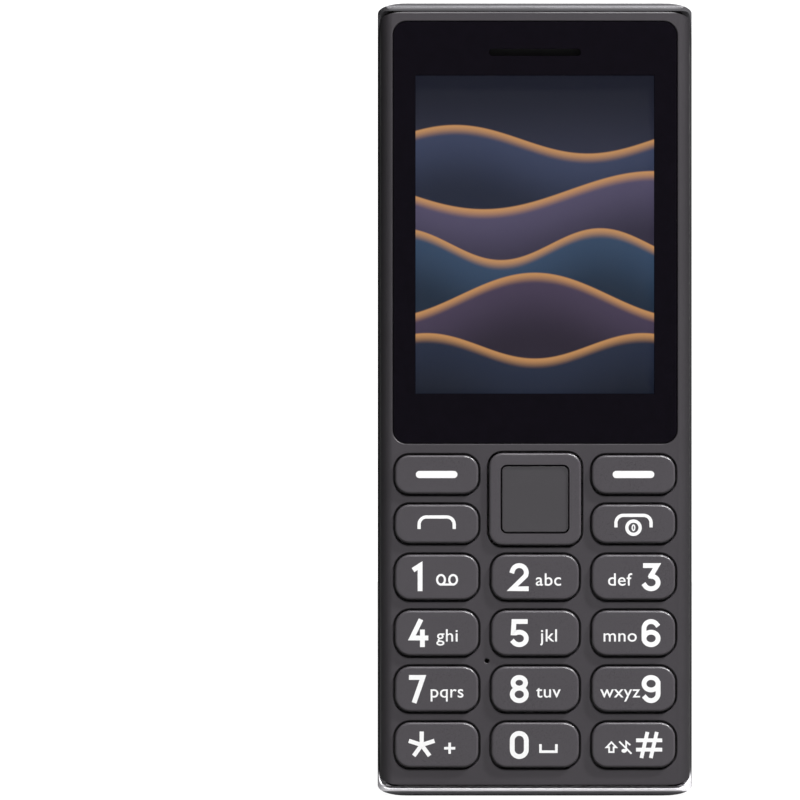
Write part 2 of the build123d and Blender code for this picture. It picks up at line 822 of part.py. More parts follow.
def loudspeaker():
    """The loudspeaker, against the frame's back skin in the top chamber."""
    body = RectangleRounded(speaker_width, speaker_length, speaker_corner)
    return slab(body, skin_y - speaker_depth, skin_y, speaker_x, speaker_z)


def vibration_motor():
    """The coin-shaped motor, against the frame's back skin beside the loudspeaker."""
    middle_x = -(chamber_half - motor_gap - motor_radius)
    middle_z = jack_top_z - jack_length - motor_gap - motor_radius
    return rod(motor_radius, skin_y - motor_depth, skin_y, middle_x, middle_z)


def audio_jack():
    """The audio socket on the back of the board, open at the top end."""
    low = jack_top_z - jack_length
    body = block(jack_width, board_back_y, board_back_y + jack_height, low, jack_top_z, jack_x)
    return body - post(jack_bore_radius, jack_top_z - jack_bore_length, jack_top_z + overrun, jack_x, jack_y)


def torch_lamp():
    """The torch's lamp, on the back of the board behind its lens."""
    high = torch_lens_bottom_z
    return block(lamp_body_width, board_back_y, board_back_y + lamp_body_width,
                 high - lamp_body_length, high, torch_x)


def torch_lens():
    """The clear lens in the frame's top end."""
    return post(torch_lens_radius, torch_lens_bottom_z, frame_top_z, torch_x, torch_y)


def usb_socket():
    """The charging socket: an oval metal shell with a thin tongue in it."""
    low = usb_bottom_z
    shell_outline = SlotOverall(usb_width, usb_height)
    mouth_outline = SlotOverall(usb_width - 2 * usb_wall, usb_height - 2 * usb_wall)
    shell = Pos(0, usb_y, low) * extrude(shell_outline, amount=usb_length)
    shell -= Pos(0, usb_y, low - overrun) * extrude(mouth_outline, amount=usb_depth + overrun)
    tongue_front = usb_y - usb_tongue_height / 2
    tongue_low = low + usb_wall
    return shell + block(usb_tongue_width, tongue_front, tongue_front + usb_tongue_height,
                         tongue_low, low + usb_length)


def aerial_film():
    """The aerial: a film on the frame's lower back, with slots between its arms."""
    back = frame_back_y + aerial_depth
    top_z = aerial_bottom_z + aerial_length
    film = block(aerial_width, frame_back_y, back, aerial_bottom_z, top_z)
    for number, share in enumerate(aerial_slot_shares):
        slot_z = aerial_bottom_z + aerial_length * share
        side = 1 if number % 2 else -1
        film -= block(aerial_width - 2 * aerial_slot_width, frame_back_y - overrun, back + overrun,
                      slot_z, slot_z + aerial_slot_width / 2, side * aerial_slot_width * 2)
    return film


def middle_frame():
    """The frame inside: a floor between board and battery, and a chamber at each end behind the board."""
    corner = (inner_corner, inner_corner)
    end_round = (inner_end_round, inner_end_round)
    form = body_form(side_wall + frame_gap, frame_bottom_z, body_length - frame_top_z, seam_y, frame_back_y,
                     corner, None, end_round)
    frame = form - block(2 * pocket_half, seam_y - overrun, floor_front_y, pocket_bottom_z, pocket_top_z)
    lower_zone_top = battery_bottom_z - battery_end_gap - zone_wall
    flat_width = 2 * (half_width - back_curve_width)
    frame -= block(flat_width, floor_front_y - overrun, skin_y, pocket_bottom_z, lower_zone_top)
    frame -= block(2 * chamber_half, floor_front_y - overrun, skin_y, top_zone_z, pocket_top_z)
    for upright in frame_posts():
        frame += upright & form
    bay_width = battery_width + 2 * bay_gap
    frame -= block(bay_width, floor_back_y, frame_back_y + overrun,
                   battery_bottom_z - battery_end_gap, battery_top_z + battery_end_gap)
    frame -= block(connector_width + 2 * bay_gap, floor_front_y - overrun, frame_back_y + overrun,
                   battery_top_z, connector_top_z + bay_gap)
    cards_width = 2 * card_x + sim_width + 2 * card_gap
    frame -= block(cards_width, floor_front_y - overrun, frame_back_y + overrun, cards_bottom_z, cards_top_z)
    for x, z in screw_places:
        frame -= rod(well_radius, screw_seat_y(), frame_back_y + overrun, x, z)
        frame -= rod(screw_radius + screw_hole_gap, board_back_y - overrun, frame_back_y, x, z)
    frame -= end_holes(frame_wall)
    return frame - cover_ribs(rib_fit, frame_back_y - seam_y)


def frame_posts():
    """Posts that stand on the board: one round each screw, and four in the middle of the frame."""
    posts = [rod(post_radius, board_back_y, skin_y, x, z) for x, z in screw_places]
    for z in rest_post_z:
        for x in (-rest_post_x, rest_post_x):
            posts.append(rod(rest_post_radius, board_back_y, floor_back_y, x, z))
    return posts


def screw_seat_y():
    """The level on which the case screws' heads sit, which is the same for all four."""
    return floor_front_y + screw_seat_depth


def end_holes(wall):
    """Cuts through a wall of the frame at the ends: sockets, torch lens and the loudspeaker's holes."""
    top = frame_top_z + overrun
    top_low = frame_top_z - wall - overrun
    jack_width_room = jack_width + 2 * cavity_gap
    jack_back = board_back_y + jack_height + cavity_gap
    cuts = block(jack_width_room, board_back_y - overrun, jack_back, jack_top_z - jack_length - cavity_gap,
                 top, jack_x)
    cuts += post(torch_lens_radius + torch_lens_fit, top_low, top, torch_x, torch_y)
    cuts += sound_holes(top_low, top)
    usb_room = SlotOverall(usb_width + 2 * cavity_gap, usb_height + 2 * cavity_gap)
    cuts += Pos(0, usb_y, frame_bottom_z - overrun) * extrude(usb_room, amount=usb_length + 2 * overrun)
    return cuts


def sound_holes(low, high):
    """The row of small holes that lets the loudspeaker out at the top end."""
    holes = []
    for number in range(sound_hole_count):
        x = speaker_x + (number - (sound_hole_count - 1) / 2) * sound_hole_pitch
        holes.append(post(sound_hole_radius, low, high, x, sound_y))
    return Compound(children=holes)


def cover_ribs(room, length):
    """Ribs inside the rear cover's sides, or with room round them the channels that they slide in."""
    ribs = []
    front = seam_y + rib_drop - room
    for share in rib_shares:
        middle = body_length * share
        low = middle - rib_length / 2 - room
        high = middle + rib_length / 2 + room
        for side in (-1, 1):
            inner = half_width - side_wall - rib_width - room
            outer = half_width - side_wall + (side_wall if room else 0)
            ribs.append(block(outer - inner, front, front + length + 2 * room, low, high,
                              side * (inner + outer) / 2))
    return Compound(children=ribs)


def case_screws():
    """The four screws that hold frame, board and front cover together, each with a driver's socket."""
    screws = []
    seat = screw_seat_y()
    for x, z in screw_places:
        root_y = key_plate_y if z < key_pocket_top_z else lcd_front_y
        screw = rod(screw_radius, root_y + screw_tip_gap, seat, x, z)
        head_back = seat + screw_head_depth
        screw += rod(screw_head_radius, seat, head_back, x, z)
        socket = slab(RegularPolygon(screw_socket_radius, 6), head_back - screw_socket_depth,
                      head_back + overrun, x, z)
        screws.append(screw - socket)
    return Compound(children=screws)


def rear_cover():
    """The lift-off back: a shell that wraps the sides and both ends, and shows as a rim round the face."""
    outer_corner = (corner_width, corner_height)
    rim = (rim_round, rim_round)
    back_round = (back_end_round, back_end_round)
    edge_curve = (front_curve_width, front_curve_depth - rim_drop)
    shell = body_form(0, 0, 0, rim_front_y, back_y, outer_corner, rim, back_round, edge_curve)
    corner = (inner_corner, inner_corner)
    end_round = (inner_end_round, inner_end_round)
    shell -= body_form(side_wall, bottom_rim, top_rim, rim_front_y - overrun, back_inner_y,
                       corner, None, end_round)
    opening_half = (body_length - bottom_rim - top_rim) / 2
    opening_middle = (body_length + bottom_rim - top_rim) / 2
    ramp = (ramp_length, seam_y - rim_front_y)
    shell -= from_side(outline(opening_half, rim_front_y - overrun, seam_y, None, ramp), opening_middle)
    bevel = make_face(Polyline((0, rim_front_y + rim_bevel), (-rim_bevel - overrun, rim_front_y - overrun),
                               (overrun, rim_front_y - overrun), (overrun, rim_front_y + rim_bevel),
                               close=True))
    shell -= from_side(bevel, bottom_rim, half_width - side_wall)
    top_low = body_length - top_rim - overrun
    top = body_length + overrun
    shell -= post(jack_mouth_radius, top_low, top, jack_x, jack_y)
    shell -= post(torch_lens_radius + torch_hole_gap, top_low, top, torch_x, torch_y)
    shell -= sound_holes(top_low, top)
    usb_mouth = SlotOverall(usb_width + 2 * usb_mouth_gap, usb_height + 2 * usb_mouth_gap)
    shell -= Pos(0, usb_y, -overrun) * extrude(usb_mouth, amount=bottom_rim + 2 * overrun)
    return shell + cover_ribs(0, rib_height)


pieces = {
    "front_cover": front_cover(),
    "display_window": display_window(),
    "window_tape": window_tape(),
    "earpiece_cloth": earpiece_cloth(),
    "earpiece_receiver": earpiece_receiver(),
    "lcd_panel": lcd_panel(),
    "lcd_backlight": lcd_backlight(),
    "lcd_ribbon": lcd_ribbon(),
    "screen_socket": screen_socket(),
    "main_board": main_board(),
    "key_domes": key_domes(),
    "dome_carrier": dome_carrier(),
    "keymat": keymat(),
    "key_lamps": key_lamps(),
    "microphone": microphone(),
    "microphone_boot": microphone_boot(),
    "radio_shield": shield_can(radio_can_width, radio_can_low, radio_can_high),
    "radio_chip": chip(radio_chip_size, (radio_can_low + radio_can_high) / 2),
    "main_shield": shield_can(main_can_width, main_can_low, main_can_high),
    "processor_chip": chip(main_chip_size, (main_can_low + main_can_high) / 2),
    "battery": battery(),
    "battery_contacts": battery_contacts(),
    "battery_connector": battery_connector(),
    "sim_socket_left": card_socket(sim_width, sim_length, -card_x),
    "sim_socket_right": card_socket(sim_width, sim_length, card_x),
    "memory_card_socket": card_socket(memory_width, memory_length, 0),
    "loudspeaker": loudspeaker(),
    "vibration_motor": vibration_motor(),
    "audio_jack": audio_jack(),
    "torch_lamp": torch_lamp(),
    "torch_lens": torch_lens(),
    "usb_socket": usb_socket(),
    "aerial_film": aerial_film(),
    "middle_frame": middle_frame(),
    "case_screws": case_screws(),
    "rear_cover": rear_cover(),
    "nav_ring": nav_ring(),
    "nav_pad": nav_pad(),
    "nav_center": nav_center(),
}
for name, place in key_places.items():
    pieces[name] = key_cap(*place)

for name, piece in pieces.items():
    export_step(piece, f"parts/{name}.step")
body_size = [round(size, 2) for size in (body_width, body_depth, body_length)]
print(len(pieces), "pieces; body", body_size)
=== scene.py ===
# %% [markdown]
# # A keypad phone, dressed
#
# The construction model gives every piece its place. This script gives each one its finish, and adds
# what is too thin to be a construction piece: the white legends on the keys.

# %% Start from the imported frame
import json
import math

import bmesh
import bpy
from mathutils import Matrix, Vector

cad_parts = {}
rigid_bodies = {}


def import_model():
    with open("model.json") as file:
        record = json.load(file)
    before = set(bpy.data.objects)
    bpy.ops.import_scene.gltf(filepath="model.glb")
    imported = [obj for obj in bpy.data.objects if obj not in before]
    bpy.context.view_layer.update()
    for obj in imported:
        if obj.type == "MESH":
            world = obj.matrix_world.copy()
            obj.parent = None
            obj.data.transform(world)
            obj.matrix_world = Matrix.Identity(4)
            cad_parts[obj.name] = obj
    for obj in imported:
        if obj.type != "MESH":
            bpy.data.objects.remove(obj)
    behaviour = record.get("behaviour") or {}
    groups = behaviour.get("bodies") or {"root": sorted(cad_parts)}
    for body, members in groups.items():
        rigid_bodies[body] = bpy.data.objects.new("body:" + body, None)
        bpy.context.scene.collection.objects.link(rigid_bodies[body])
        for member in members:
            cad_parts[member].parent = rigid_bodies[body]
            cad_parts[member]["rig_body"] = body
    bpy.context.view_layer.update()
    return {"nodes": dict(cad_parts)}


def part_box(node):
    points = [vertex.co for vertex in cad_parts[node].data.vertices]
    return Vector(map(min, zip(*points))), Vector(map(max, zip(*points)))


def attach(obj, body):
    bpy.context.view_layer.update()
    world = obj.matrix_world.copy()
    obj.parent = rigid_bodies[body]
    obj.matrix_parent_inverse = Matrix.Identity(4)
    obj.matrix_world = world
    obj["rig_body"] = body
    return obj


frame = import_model()
nodes = frame["nodes"]
mm = 0.001

# %% [markdown]
# ## Tools for materials
#
# A finish on a small moulded phone is mostly fine grain: a number that varies over the surface and feeds the
# colour, the roughness and the bump. `Field` wraps such a number, so that the grain of each finish can be
# written as a sum.


# %% Numbers that vary over a surface
class Field:
    """A shader socket that adds, subtracts and multiplies like a number."""

    def __init__(self, socket):
        self.socket = socket
        self.tree = socket.id_data

    def make(self, kind, settings=None, inputs=None, output=0):
        """Any other node, fed by numbers, colours or fields."""
        node = self.tree.nodes.new(kind)
        for name, value in (settings or {}).items():
            setattr(node, name, value)
        for name, value in (inputs or {}).items():
            if isinstance(value, Field):
                self.tree.links.new(value.socket, node.inputs[name])
            else:
                node.inputs[name].default_value = value
        return Field(node.outputs[output])

    def math(self, operation, *others):
        values = dict(enumerate((self, *others)))
        return self.make("ShaderNodeMath", {"operation": operation}, values)

    def __add__(self, other):
        return self.math("ADD", other)

    def __mul__(self, other):
        return self.math("MULTIPLY", other)

    def __sub__(self, other):
        return self.math("SUBTRACT", other)

    def __rsub__(self, other):
        return (self * -1) + other

    def sine(self):
        return self.math("SINE")

    def clamped(self):
        return self.math("MAXIMUM", 0).math("MINIMUM", 1)

    def step(self, start, end):
        """0 before start and 1 after end, in a smooth turn."""
        return self.make("ShaderNodeMapRange", {"interpolation_type": "SMOOTHSTEP"},
                         {"Value": self, "From Min": start, "From Max": end})

    def blend(self, low, high):
        """The first colour where this is 0, and the second where it is 1."""
        return self.make("ShaderNodeMix", {"data_type": "RGBA"}, {0: self, 6: low, 7: high}, 2)


def linear(red, green, blue):
    """A colour as it looks on screen, from 0 to 255, as the shader wants it."""
    parts = [value / 255 for value in (red, green, blue)]
    return (*[p / 12.92 if p <= 0.04045 else ((p + 0.055) / 1.055) ** 2.4 for p in parts], 1)


def shaded(color, share):
    """A colour made lighter or darker."""
    return (*[part * share for part in color[:3]], 1)


def along(place):
    """A place as three numbers, along x, y and z."""
    axes = place.make("ShaderNodeSeparateXYZ", None, {"Vector": place}).socket.node
    return [Field(axes.outputs[axis]) for axis in "XYZ"]


def begin(name):
    """A new material: its tree, its main shader and the place on the object."""
    material = bpy.data.materials.new(name)
    material.use_nodes = True
    tree = material.node_tree
    shader = tree.nodes["Principled BSDF"]
    place = Field(tree.nodes.new("ShaderNodeTexCoord").outputs["Object"])
    return material, tree, shader, place


def noise(place, scale, detail=3, stretch=(1, 1, 1)):
    """Cloudy grain. The stretch draws it out along an axis."""
    mapped = place.make("ShaderNodeMapping", None, {"Vector": place, "Scale": stretch})
    return place.make("ShaderNodeTexNoise", None, {"Vector": mapped, "Scale": scale, "Detail": detail})


patch_scale = 90
fine_share = 0.7
patch_share = 0.3
grain_low = 0.3
grain_high = 0.7


def finish(name, color, roughness, grain=9000, stretch=(1, 1, 1), change=0.12, rough_change=0.1,
           bump=0.1, bump_depth=0.01 * mm, metallic=0.0, coat=0.0):
    """A moulded, drawn or rolled finish: an even colour with fine grain and slow patches of wear."""
    material, tree, shader, place = begin(name)
    fine = noise(place, grain, 3, stretch)
    slow = noise(place, patch_scale, 2)
    mixed = (fine * fine_share + slow * patch_share).step(grain_low, grain_high)
    tone = mixed.blend(shaded(color, 1 - change), shaded(color, 1 + change))
    tree.links.new(tone.socket, shader.inputs["Base Color"])
    rough = mixed * rough_change + (roughness - rough_change / 2)
    tree.links.new(rough.socket, shader.inputs["Roughness"])
    shader.inputs["Metallic"].default_value = metallic
    shader.inputs["Coat Weight"].default_value = coat
    relief = fine.make("ShaderNodeBump", None, {"Height": fine, "Strength": bump, "Distance": bump_depth})
    tree.links.new(relief.socket, shader.inputs["Normal"])
    return material


# %% [markdown]
# ## Finishes of the case
#
# The face is a satin moulding, slightly warmer than grey, with painted shade on its curved long edges that
# makes them darker than the lamps alone make them. The keys are moulded a shade lighter. The back is matte,
# with hairlines that run from side to side, so its grain is drawn out along x. Its front edge shows round
# the face as a rim, brightest where a highlight is painted on the bevel at the standing end, over painted
# shade at its foot.

# %% Case and key finishes
# painted shade on the face's long edges: where it begins, where it is full, and how dark it makes the colour
edge_shade_start = 21.4 * mm
edge_shade_end = 24.0 * mm
edge_shade_share = 0.42
rim_start = -4.6 * mm
rim_end = -4.2 * mm
# heights on the rim's standing end: where the painted shade at the foot turns to a painted highlight on the
# bevel, and where both give way to the rim's own tone
highlight_start = 0.68 * mm
highlight_end = 0.82 * mm
rim_low_start = 2 * mm
rim_low_end = 4 * mm
rim_metal = 0.4
rim_color = linear(84, 83, 86)
# colours of the painted highlight on the rim's bevel and of the painted shade at its foot
painted_highlight_color = linear(244, 242, 246)
painted_shade_color = linear(100, 98, 102)


def reopened(material):
    """A finished material's tree, main shader and colour, and the place along x, y and z."""
    tree = material.node_tree
    shader = tree.nodes["Principled BSDF"]
    base = Field(shader.inputs["Base Color"].links[0].from_socket)
    place = Field(tree.nodes.new("ShaderNodeTexCoord").outputs["Object"])
    return tree, shader, base, along(place)


def paint_shade_on_long_edges(material):
    """Paints shade on the curved long edges, so their colour is darker than the flat between them."""
    tree, shader, base, (across, _, _) = reopened(material)
    # painted shade: the colour darkens towards the curved long edges, in place of their turning away from
    # the lamps
    level = 1 - across.math("ABSOLUTE").step(edge_shade_start, edge_shade_end) * (1 - edge_shade_share)
    with_painted_shade = base.make("ShaderNodeVectorMath", {"operation": "SCALE"}, {"Vector": base, "Scale": level})
    tree.links.new(with_painted_shade.socket, shader.inputs["Base Color"])


def paint_light_on_rim(material):
    """Paints light on the front edge of the back: a painted highlight on the bevel over painted shade at the
    foot, and the rim's own dull tone higher up.
    """
    tree, shader, base, (_, depth, height) = reopened(material)
    rim = 1 - depth.step(rim_start, rim_end)
    # painted highlight on the bevel at the standing end over painted shade at the foot; higher up, the rim's
    # own tone
    painted_low_end = height.step(highlight_start, highlight_end).blend(painted_shade_color, painted_highlight_color)
    rim_tone_and_painted_light = height.step(rim_low_start, rim_low_end).blend(painted_low_end, rim_color)
    tree.links.new(rim.blend(base, rim_tone_and_painted_light).socket, shader.inputs["Base Color"])
    tree.links.new((rim * rim_metal).socket, shader.inputs["Metallic"])


face = finish("face_plastic", linear(60, 57, 61), 0.42, change=0.06)
paint_shade_on_long_edges(face)
key = finish("key_plastic", linear(72, 69, 73), 0.31, change=0.05)
center = finish("nav_center_plastic", linear(66, 64, 67), 0.34, change=0.05)
back = finish("back_plastic", linear(42, 42, 43), 0.46, grain=6500, stretch=(0.006, 0.006, 1), change=0.09,
              bump=0.3)
paint_light_on_rim(back)
frame_dark = finish("frame_plastic", linear(40, 40, 42), 0.55, change=0.1)
print("case finishes made")

# %% [markdown]
# ## Finishes inside
#
# The back and the battery come off, so what lies behind them is finished too: rolled steel, tinned cans with
# a drawn grain, a laminate with copper tracks under green lacquer, amber ribbon and printed film.

# %% Metals, films and rubbers
steel = finish("bright_steel", linear(196, 197, 200), 0.28, stretch=(0.05, 1, 1), metallic=1, change=0.08)
tinned = finish("tinned_steel", linear(176, 178, 180), 0.38, stretch=(1, 1, 0.05), metallic=1, change=0.1)
gold = finish("gold_plate", linear(214, 176, 96), 0.25, metallic=1, change=0.06)
copper = finish("copper_film", linear(190, 116, 78), 0.32, metallic=1, change=0.1)
black = finish("dark_plastic", linear(24, 24, 25), 0.5, change=0.12)
tape = finish("black_tape", linear(12, 12, 13), 0.7, change=0.2)
rubber = finish("black_rubber", linear(20, 20, 20), 0.75, change=0.15, bump=0.2)
silicone = finish("silicone", linear(206, 208, 206), 0.55, change=0.04)
white = finish("white_plastic", linear(222, 222, 218), 0.45, change=0.04)
amber = finish("amber_film", linear(190, 118, 34), 0.3, stretch=(1, 1, 0.03), change=0.18, coat=0.4)
film = finish("clear_film", linear(186, 190, 194), 0.25, change=0.05, coat=0.5)
resin = finish("lamp_resin", linear(236, 228, 176), 0.3, change=0.06, coat=0.3)
cell = finish("battery_case", linear(58, 60, 64), 0.4, stretch=(1, 1, 0.1), change=0.08, coat=0.2)
lens = finish("clear_lens", linear(206, 212, 216), 0.08, change=0.03, coat=0.8)
legend_ink = finish("legend_white", linear(236, 236, 236), 0.5, change=0.02, bump=0.02)


# %% Woven cloth and the circuit board
def cloth():
    """Fine black cloth: two sets of threads that cross."""
    material, tree, shader, place = begin("mesh_cloth")
    across, _, up = along(place)
    threads_per_metre = 9000
    turns = threads_per_metre * math.tau
    half = 0.5
    weave = (across * turns).sine() * (up * turns).sine()
    lit = (weave * half + half).clamped()
    tone = lit.blend(linear(8, 8, 9), linear(34, 34, 36))
    tree.links.new(tone.socket, shader.inputs["Base Color"])
    shader.inputs["Roughness"].default_value = 0.8
    return material


def laminate():
    """Green lacquer over copper tracks, which show as slightly lighter lines."""
    material, tree, shader, place = begin("board_laminate")
    track_scale = 420
    track_width = 0.06
    area_scale = 260
    area_low = 0.46
    area_high = 0.54
    rough_low = 0.3
    rough_change = 0.08
    lacquer = 0.4
    black_tone = (0, 0, 0, 1)
    mapped = place.make("ShaderNodeMapping", None, {"Vector": place, "Rotation": (math.pi / 2, 0, 0)})
    tracks = place.make("ShaderNodeTexBrick", None,
                        {"Vector": mapped, "Scale": track_scale, "Mortar Size": track_width,
                         "Color1": black_tone, "Color2": black_tone, "Mortar": (1, 1, 1, 1)})
    areas = noise(place, area_scale, 2).step(area_low, area_high)
    tone = (tracks * areas).blend(linear(14, 52, 38), linear(34, 96, 66))
    tree.links.new(tone.socket, shader.inputs["Base Color"])
    rough = areas * rough_change + rough_low
    tree.links.new(rough.socket, shader.inputs["Roughness"])
    shader.inputs["Coat Weight"].default_value = lacquer
    return material


mesh_cloth = cloth()
board = laminate()
print("inner finishes made")

# %% [markdown]
# ## The window and the lit screen
#
# The window is one clear pane. Its border is printed black on the inside, so it looks black right up to the
# edge of the picture. Here one material does both: a black gloss outside the picture, and clear inside it.

# %% Where the picture is
active_width = 36.72 * mm
active_height = 48.96 * mm
active_top_margin = 8.26 * mm
active_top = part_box("display_window")[1].z - active_top_margin
active_middle = active_top - active_height / 2
edge_soft = 0.03 * mm
clear_share = 0.97
haze_scale = 700
glass_rough = 0.04
haze_rough = 0.03


def inside_picture(across, up):
    """1 inside the screen's picture and 0 outside it."""
    side = across.math("ABSOLUTE").step(active_width / 2, active_width / 2 + edge_soft)
    end = (up - active_middle).math("ABSOLUTE").step(active_height / 2, active_height / 2 + edge_soft)
    return (1 - side) * (1 - end)


def window_glass():
    """A glossy pane: printed black round the picture, clear over it."""
    material, tree, shader, place = begin("window_glass")
    across, _, up = along(place)
    mask = inside_picture(across, up)
    haze = noise(place, haze_scale, 2)
    tone = haze.blend(linear(11, 9, 14), linear(15, 12, 19))
    tree.links.new(tone.socket, shader.inputs["Base Color"])
    rough = haze * haze_rough + glass_rough
    tree.links.new(rough.socket, shader.inputs["Roughness"])
    clear = tree.nodes.new("ShaderNodeBsdfTransparent")
    mix = tree.nodes.new("ShaderNodeMixShader")
    tree.links.new((mask * clear_share).socket, mix.inputs["Fac"])
    tree.links.new(shader.outputs["BSDF"], mix.inputs[1])
    tree.links.new(clear.outputs["BSDF"], mix.inputs[2])
    tree.links.new(mix.outputs["Shader"], tree.nodes["Material Output"].inputs["Surface"])
    return material


# %% [markdown]
# The picture is a plain one of rolling hills at dusk, each drawn as a wave with a warm lit crest. It is made
# from sines, one hill in front of another.

# %% The lit picture
hill_crests = [0.80, 0.64, 0.47, 0.31, 0.15]
hill_swells = [0.045, 0.06, 0.05, 0.07, 0.04]
hill_waves = [0.9, 0.7, 1.2, 0.8, 1.1]
hill_starts = [0.10, 0.55, 0.32, 0.85, 0.20]
hill_colors = [linear(58, 66, 92), linear(82, 76, 102), linear(52, 72, 98), linear(70, 60, 82),
               linear(34, 42, 62)]
crest_color = linear(206, 150, 92)
crest_width = 0.035
crest_share = 0.85
hill_fade = 0.22
foot_share = 0.35
line_soft = 0.003
panel_tone = 0.002
panel_rough = 0.3


def picture():
    """A lit screen with hills at dusk, black outside the picture."""
    material, tree, shader, place = begin("screen_glass")
    across, _, up = along(place)
    share_across = across * (1 / active_width) + 0.5
    share_up = (up - (active_top - active_height)) * (1 / active_height)
    view = share_up.step(0.5, 1).blend(linear(60, 62, 82), linear(26, 28, 40))
    hills = zip(hill_crests, hill_swells, hill_waves, hill_starts, hill_colors)
    for crest, swell, wave, start, color in hills:
        line = ((share_across * wave + start) * math.tau).sine() * swell + crest
        below = line - share_up
        lit = 1 - below.step(0, crest_width)
        shade = below.step(0, hill_fade).blend(color, shaded(color, foot_share))
        hill = (lit * crest_share).blend(shade, crest_color)
        view = below.step(-line_soft, line_soft).blend(view, hill)
    shown = inside_picture(across, up).blend((0, 0, 0, 1), view)
    tree.links.new(shown.socket, shader.inputs["Emission Color"])
    shader.inputs["Emission Strength"].default_value = 1
    shader.inputs["Base Color"].default_value = (panel_tone, panel_tone, panel_tone, 1)
    shader.inputs["Roughness"].default_value = panel_rough
    return material


glass = window_glass()
screen = picture()

# %% [markdown]
# ## Each piece gets its finish

# %% Finishes by piece
key_names = ["soft_key_left", "soft_key_right", "call_key", "end_key", "key_1", "key_2", "key_3", "key_4",
             "key_5", "key_6", "key_7", "key_8", "key_9", "key_star", "key_0", "key_hash"]
finish_of = {
    "front_cover": face, "rear_cover": back, "middle_frame": frame_dark, "display_window": glass,
    "window_tape": tape, "earpiece_cloth": mesh_cloth, "earpiece_receiver": steel, "lcd_panel": screen,
    "lcd_backlight": white, "lcd_ribbon": amber, "screen_socket": black, "main_board": board,
    "key_domes": steel, "dome_carrier": film, "keymat": silicone, "key_lamps": resin, "microphone": black,
    "microphone_boot": rubber, "radio_shield": tinned, "radio_chip": black, "main_shield": tinned,
    "processor_chip": black, "battery": cell, "battery_contacts": gold, "battery_connector": black,
    "sim_socket_left": steel, "sim_socket_right": steel, "memory_card_socket": steel, "loudspeaker": black,
    "vibration_motor": steel, "audio_jack": black, "torch_lamp": resin, "torch_lens": lens,
    "usb_socket": steel, "aerial_film": copper, "case_screws": steel, "nav_ring": key, "nav_pad": black,
    "nav_center": center,
}
finish_of.update({name: key for name in key_names})
for name, piece in nodes.items():
    piece.data.materials.clear()
    piece.data.materials.append(finish_of[name])
print("finished", len(finish_of), "of", len(nodes), "nodes")

# %% [markdown]
# ## Legends
#
# The legends are printed white. A print has almost no height, so each is a thin plate let into its key, with
# its face about two hundredths of a millimetre proud. It rides on its key and goes in when the key is
# pressed. Strokes that cross lie at slightly different levels, so that no two faces share a plane.

# %% Flat shapes for legends
print_depth = 0.06 * mm
print_proud = 0.015 * mm
print_level = 0.002 * mm
print_weld = 0.002 * mm
mitre_limit = 0.4
letter_bold = 0.005
letter_space = 1.05
letter_widen = 1.05
# from flat drawing (x, y) to the face of the phone (x, z), facing the viewer
upright = Matrix.Rotation(math.pi / 2, 4, "X")


def stroke(points, width, closed=False):
    """A line of even width as its left and right edges, with mitred corners and square ends."""
    count = len(points)
    points = [Vector(point) for point in points]
    if not closed:
        points[0] += (points[0] - points[1]).normalized() * (width / 2)
        points[-1] += (points[-1] - points[-2]).normalized() * (width / 2)
    sides = []
    for index, point in enumerate(points):
        before = points[index - 1] if closed or index else None
        after = points[(index + 1) % count] if closed or index < count - 1 else None
        ways = [(point - before).normalized()] if before else []
        ways += [(after - point).normalized()] if after else []
        middle = sum(ways, Vector((0, 0))).normalized()
        normal = Vector((-middle.y, middle.x))
        reach = width / 2 / max(mitre_limit, middle.dot(ways[0]))
        sides.append((point + normal * reach, point - normal * reach))
    return sides, closed


def arc(x, y, radius_x, radius_y, start, end, steps=28):
    """Points along part of an ellipse, in turns."""
    turns = [start + (end - start) * step / steps for step in range(steps + 1)]
    return [(x + radius_x * math.cos(turn * math.tau), y + radius_y * math.sin(turn * math.tau))
            for turn in turns]


def drawn(strokes, filled=()):
    """A mesh of thin plates from strokes and from filled outlines."""
    work = bmesh.new()
    for outline in filled:
        work.faces.new([work.verts.new((*point, -print_level)) for point in outline])
    for level, (sides, closed) in enumerate(strokes):
        height = level * print_level
        pairs = [[work.verts.new((*point, height)) for point in pair] for pair in sides]
        ends = pairs[1:] + (pairs[:1] if closed else [])
        for (left, right), (next_left, next_right) in zip(pairs, ends):
            work.faces.new((left, right, next_right, next_left))
    return thickened(work)


def thickened(work):
    """Turns flat faces into a plate of the print's depth, with its normals outward."""
    raised = bmesh.ops.extrude_face_region(work, geom=work.faces[:])
    moved = [item for item in raised["geom"] if isinstance(item, bmesh.types.BMVert)]
    bmesh.ops.translate(work, verts=moved, vec=(0, 0, print_depth))
    bmesh.ops.recalc_face_normals(work, faces=work.faces[:])
    mesh = bpy.data.meshes.new("print")
    work.to_mesh(mesh)
    work.free()
    mesh.shade_flat()
    return mesh


def span(mesh, axis):
    """The least and the greatest place in a mesh along an axis."""
    places = [vertex.co[axis] for vertex in mesh.vertices]
    return min(places), max(places)


